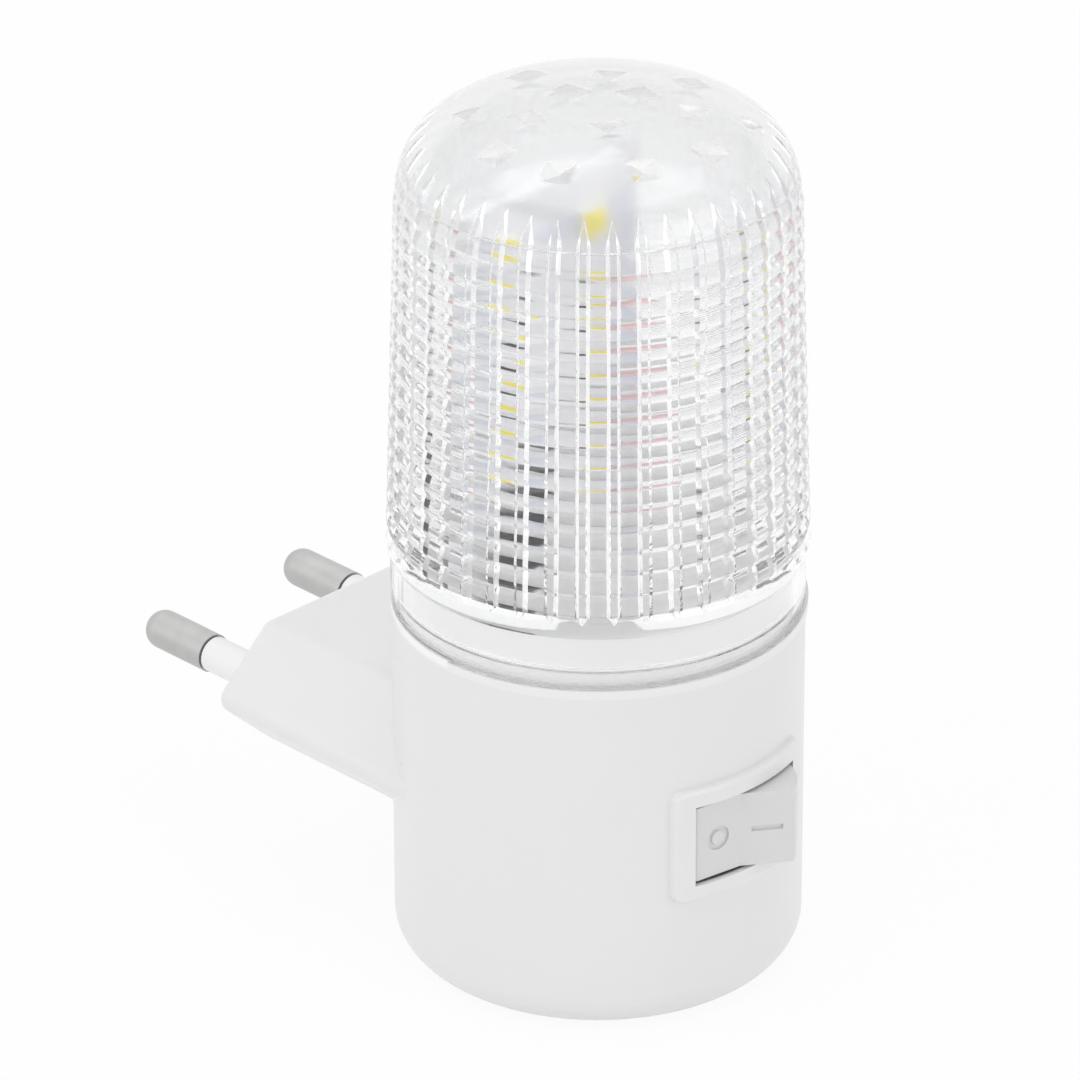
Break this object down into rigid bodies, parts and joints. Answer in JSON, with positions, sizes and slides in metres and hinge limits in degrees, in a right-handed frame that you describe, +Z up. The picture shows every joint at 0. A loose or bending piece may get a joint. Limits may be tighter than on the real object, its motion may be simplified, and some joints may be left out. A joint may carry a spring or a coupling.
{
  "type": "plug in night light",
  "caption": "White plug-in night light with a clear ribbed domed diffuser over a circuit board, a side plug with round pins and a small rocker switch.",
  "frame": {"origin": "middle of the flat base, on the axis of the cylindrical body", "axes": "+Z up along the body's axis; +Y the way the plug pins point; the rocker switch faces -Y"},
  "size_m": [0.0408, 0.0775, 0.0892],
  "materials": {
    "housing_white": "glossy white ABS",
    "diffuser_clear": "clear polystyrene, polished",
    "rocker_white": "light grey-white, satin gloss",
    "sleeve_white": "white insulating sleeve",
    "pin_nickel": "nickel-plated brass, satin",
    "nylon_natural": "natural nylon",
    "zinc_steel": "zinc-plated steel",
    "spring_steel": "spring steel",
    "brass": "turned brass",
    "copper_alloy": "phosphor bronze strip",
    "cover_white": "white ABS disc",
    "board_white": "white solder mask",
    "film_red": "red epoxy dip",
    "can_sleeve": "black shrink sleeve",
    "can_aluminium": "bare aluminium",
    "moulding_black": "black moulding compound",
    "led_package": "white package",
    "led_phosphor": "yellow phosphor in resin",
    "resistor_body": "beige lacquer with tinned leads",
    "wire_brown": "brown PVC insulation",
    "wire_blue": "blue PVC insulation"
  },
  "bodies": {
    "body": {"housing": "housing_white", "diffuser": "diffuser_clear", "pin_plate": "nylon_natural", "plate_screws": "zinc_steel", "terminal_common": "copper_alloy", "terminal_switched": "copper_alloy", "switch_base": "nylon_natural", "base_screws": "zinc_steel", "circuit_board": "board_white", "film_capacitor": "film_red", "smoothing_capacitor": "can_sleeve", "can_cap": "can_aluminium", "bridge_rectifier": "moulding_black", "pin_left": "pin_nickel", "sleeve_left": "sleeve_white", "led_upper_left": "led_package", "led_window_upper_left": "led_phosphor", "pin_right": "pin_nickel", "sleeve_right": "sleeve_white", "led_upper_right": "led_package", "led_window_upper_right": "led_phosphor", "led_lower_left": "led_package", "led_window_lower_left": "led_phosphor", "led_lower_right": "led_package", "led_window_lower_right": "led_phosphor", "chip_resistor_left": "moulding_black", "chip_resistor_right": "moulding_black", "inner_cover": "cover_white", "resistor_left": "resistor_body", "resistor_right": "resistor_body", "wire_live": "wire_brown", "wire_switched": "wire_brown", "wire_neutral": "wire_blue"},
    "rocker": {"rocker": "rocker_white", "plunger_spring": "spring_steel"},
    "plunger": {"plunger": "brass"},
    "lever": {"contact_lever": "copper_alloy"}
  },
  "joints": [
    {"name": "rocker_pivot", "type": "hinge", "parent": "body", "child": "rocker", "pos_m": [0, -0.0175, 0.02], "axis": [0, 0, 1], "range_deg": [0, 44]},
    {"name": "lever_pivot", "type": "hinge", "parent": "body", "child": "lever", "pos_m": [0, -0.0099, 0.02], "axis": [0, 0, 1], "range_deg": [-16, 0]},
    {"name": "plunger_slide", "type": "slide", "parent": "rocker", "child": "plunger", "axis": [-0.3746, -0.9272, 0], "range_m": [0, 0.0006], "stiffness_N_per_m": 400, "springref_m": -0.001, "deforming": ["plunger_spring"]}
  ],
  "couplings": [
    {"joint": "lever_pivot", "follows": "rocker_pivot", "ratio": -0.36364}
  ]
}
